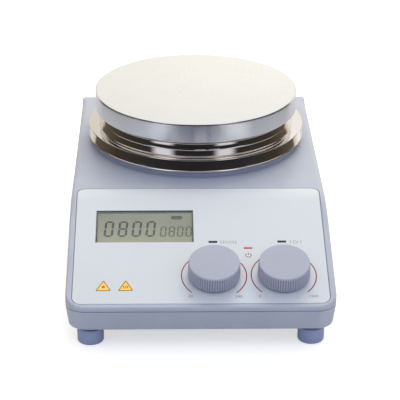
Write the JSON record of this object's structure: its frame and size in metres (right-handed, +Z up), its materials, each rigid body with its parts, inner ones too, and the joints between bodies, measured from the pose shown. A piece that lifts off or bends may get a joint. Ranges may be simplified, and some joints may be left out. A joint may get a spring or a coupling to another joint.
{
  "type": "magnetic stirrer",
  "caption": "Bench stirrer with a round heated plate over a polished pan, sloped control panel, display window, push-and-turn knobs, and a motor that spins magnets under the plate.",
  "frame": {"origin": "on the table, under the middle of the whole stirrer, from the case's front to the face of the rear fittings", "axes": "+X to the right, +Y to the back, +Z up; the control panel faces -Y"},
  "size_m": [0.16, 0.271, 0.0932],
  "materials": {
    "case": "smooth satin light blue-grey coating",
    "panel": "satin printed overlay, pale blue-grey",
    "knob": "fine matte moulded plastic",
    "foot": "matte blue-grey rubber",
    "plate": "white ceramic-coated top over a bright turned side",
    "stainless": "polished stainless sheet",
    "steel": "zinc-plated",
    "aluminium": "machined",
    "display": "grey-green liquid-crystal glass",
    "clear": "clear window",
    "board": "green circuit board",
    "dark": "black moulded plastic",
    "red": "translucent red",
    "magnet": "nickel-plated magnet",
    "copper": "copper winding",
    "mica": "mica and resistance wire",
    "fibre": "pressed ceramic fibre",
    "cable": "insulated cable"
  },
  "bodies": {
    "case": {"top_housing": "case", "base_cover": "case", "control_panel": "panel", "lcd_window": "clear", "lcd_module": "display", "display_board": "board", "heat_encoder": "dark", "stir_encoder": "dark", "heat_encoder_nut": "steel", "stir_encoder_nut": "steel", "heat_indicator": "dark", "stir_indicator": "dark", "power_indicator": "red", "hot_plate": "plate", "heating_element": "mica", "insulation_disc": "fibre", "heater_clamp_plate": "steel", "heat_shield": "aluminium", "plate_pan": "stainless", "plate_sensor": "stainless", "safety_thermostat": "aluminium", "motor_bracket": "steel", "motor_housing": "aluminium", "motor_stator": "copper", "upper_bearing": "steel", "lower_bearing": "steel", "control_board": "board", "power_module": "dark", "heat_sink": "aluminium", "ribbon_cable": "cable", "heater_cable": "cable", "power_inlet": "dark", "power_switch_frame": "dark", "probe_socket": "dark", "foot_front_left": "foot", "foot_screw_front_left": "steel", "foot_front_right": "foot", "foot_screw_front_right": "steel", "foot_rear_left": "foot", "foot_screw_rear_left": "steel", "foot_rear_right": "foot", "foot_screw_rear_right": "steel", "plate_post_1": "steel", "post_screw_1": "steel", "plate_post_2": "steel", "post_screw_2": "steel", "plate_post_3": "steel", "post_screw_3": "steel"},
    "heat_press": {"heat_press_plunger": "copper"},
    "heat_control": {"heat_knob": "knob", "heat_knob_shaft": "steel"},
    "stir_press": {"stir_press_plunger": "copper"},
    "stir_control": {"stir_knob": "knob", "stir_knob_shaft": "steel"},
    "rotor": {"motor_shaft": "steel", "motor_rotor": "magnet", "magnet_carrier": "aluminium", "drive_magnet_1": "magnet", "drive_magnet_2": "magnet"},
    "rocker": {"power_switch_rocker": "red"}
  },
  "joints": [
    {"name": "heat_knob_press", "type": "slide", "parent": "case", "child": "heat_press", "axis": [0, 0.3048, -0.9524], "range_m": [0, 0.0008]},
    {"name": "heat_knob_turn", "type": "hinge", "parent": "heat_press", "child": "heat_control", "pos_m": [0.008, -0.10968, 0.03545], "axis": [0, 0.3048, -0.9524], "range_deg": [0, 275]},
    {"name": "stir_knob_press", "type": "slide", "parent": "case", "child": "stir_press", "axis": [0, 0.3048, -0.9524], "range_m": [0, 0.0008]},
    {"name": "stir_knob_turn", "type": "hinge", "parent": "stir_press", "child": "stir_control", "pos_m": [0.0496, -0.10968, 0.03545], "axis": [0, 0.3048, -0.9524], "range_deg": [-147, 128]},
    {"name": "rotor_spin", "type": "hinge", "parent": "case", "child": "rotor", "pos_m": [0, 0.05525, 0.05], "axis": [0, 0, 1], "continuous": true},
    {"name": "power_switch_rock", "type": "hinge", "parent": "case", "child": "rocker", "pos_m": [0.002, 0.13005, 0.0405], "axis": [1, 0, 0], "range_deg": [-18, 0]}
  ]
}
